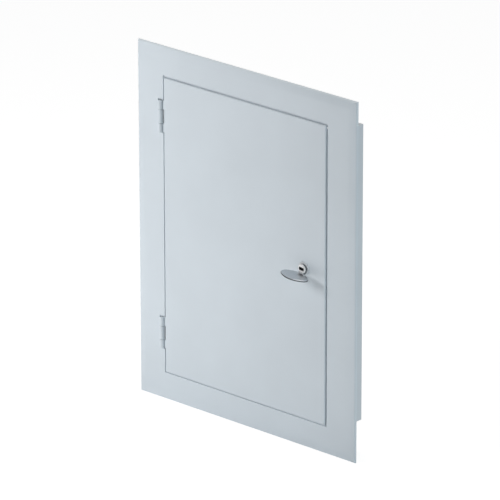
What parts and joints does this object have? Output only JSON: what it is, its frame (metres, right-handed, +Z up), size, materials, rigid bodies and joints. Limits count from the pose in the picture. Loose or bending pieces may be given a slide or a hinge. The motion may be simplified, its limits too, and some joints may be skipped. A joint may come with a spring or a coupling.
{
  "type": "hinged access panel",
  "caption": "Rectangular steel access panel with a bevelled face flange and rear collar, a side-hinged flush door and a quarter-turn latch with an oval wing knob.",
  "frame": {"origin": "middle of the panel in the plane of the wall's or ceiling's surface, where the rim of the flange's return lip rests", "axes": "+X to the right seen from the front, +Y into the wall, +Z up the panel's height; the front faces -Y"},
  "size_m": [0.27, 0.0516, 0.36],
  "materials": {
    "flange_paint": "gloss pale grey powder coat",
    "door_paint": "gloss pale grey powder coat",
    "collar_paint": "pale grey powder coat",
    "hinge_paint": "pale grey powder coat",
    "pin_steel": "drawn steel",
    "knob_chrome": "polished plating",
    "dark_steel": "blackened",
    "zinc_steel": "zinc plated"
  },
  "bodies": {
    "frame": {"frame_flange": "flange_paint", "collar_left": "collar_paint", "collar_right": "collar_paint", "collar_top": "collar_paint", "collar_bottom": "collar_paint", "hinge_upper_frame_leaf": "hinge_paint", "hinge_lower_frame_leaf": "hinge_paint", "hinge_upper_pin": "pin_steel", "hinge_lower_pin": "pin_steel", "latch_keeper": "hinge_paint"},
    "door": {"door_panel": "door_paint", "hinge_upper_door_leaf": "hinge_paint", "hinge_lower_door_leaf": "hinge_paint", "latch_bush": "knob_chrome", "latch_lock_washer": "zinc_steel", "latch_nut": "zinc_steel"},
    "latch": {"turn_knob": "knob_chrome", "latch_spindle": "dark_steel", "spring_washer": "zinc_steel", "latch_cam": "zinc_steel", "cam_washer": "zinc_steel", "cam_nut": "zinc_steel"}
  },
  "joints": [
    {"name": "door_swing", "type": "hinge", "parent": "frame", "child": "door", "pos_m": [-0.1046, -0.0043, 0], "axis": [0, 0, -1], "range_deg": [0, 150]},
    {"name": "latch_turn", "type": "hinge", "parent": "door", "child": "latch", "pos_m": [0.074, -0.0052, 0.0025], "axis": [0, -1, 0], "range_deg": [0, 95]}
  ]
}
